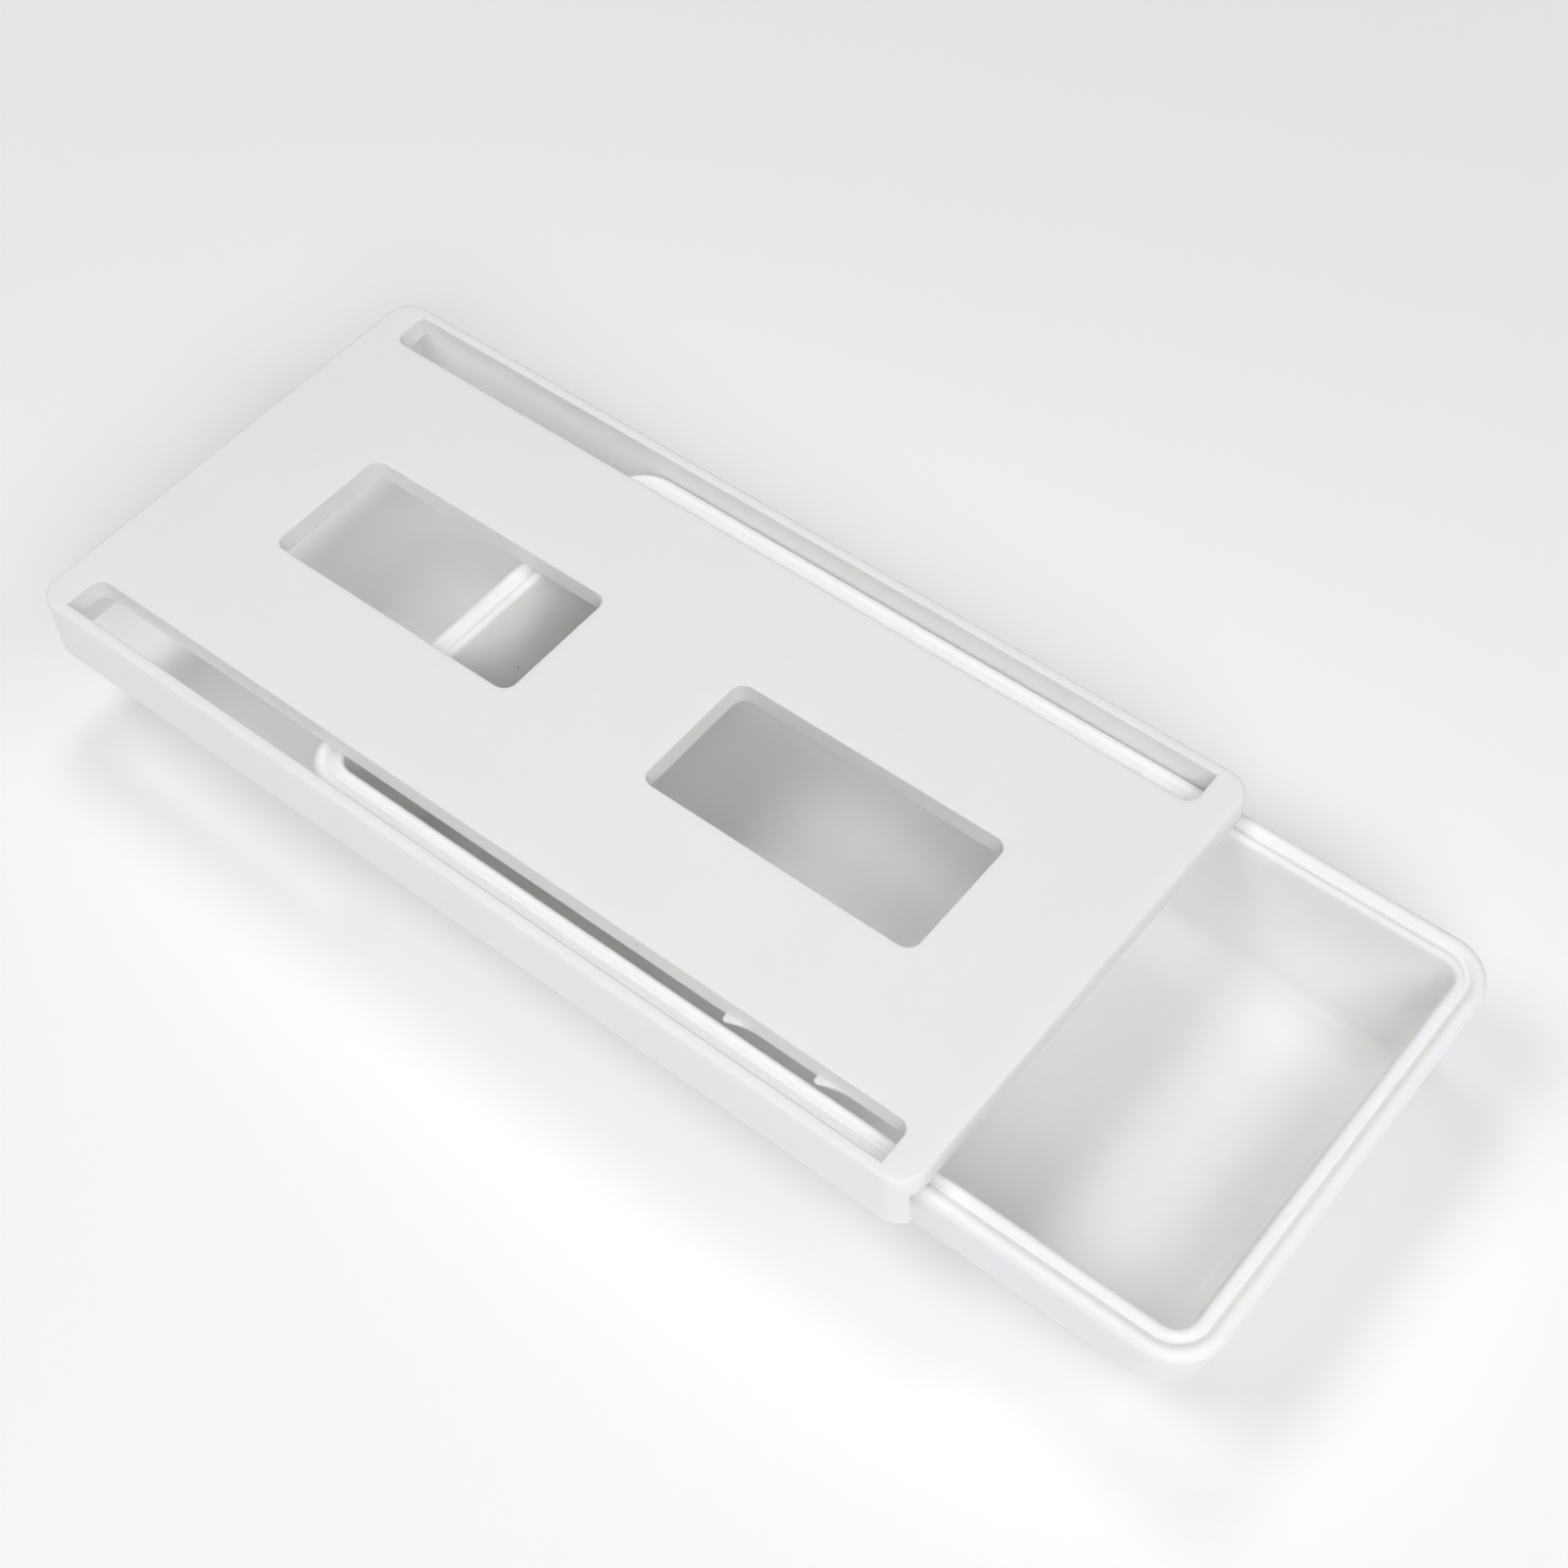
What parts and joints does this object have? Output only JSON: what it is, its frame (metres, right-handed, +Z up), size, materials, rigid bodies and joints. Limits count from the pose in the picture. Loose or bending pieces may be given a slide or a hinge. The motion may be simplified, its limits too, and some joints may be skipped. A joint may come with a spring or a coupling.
{
  "type": "pill counting tray",
  "caption": "Deep rolled-rim tray under a flat cover with two windows and two long side slots; the cover slides along the tray.",
  "frame": {"origin": "centre of the whole footprint, on the surface the tray stands on, in the half-open pose of the picture", "axes": "+X along the length, towards the end where the tray stands out of the cover; +Z up"},
  "size_m": [0.3008, 0.1184, 0.0387],
  "materials": {
    "tray_plastic": "white, semi-gloss moulded",
    "cover_plastic": "white, satin moulded"
  },
  "bodies": {
    "tray": {"tray": "tray_plastic"},
    "cover": {"slotted_cover": "cover_plastic"}
  },
  "joints": [
    {"name": "cover_slide", "type": "slide", "parent": "tray", "child": "cover", "axis": [1, 0, 0], "range_m": [-0.036, 0.0714]}
  ]
}
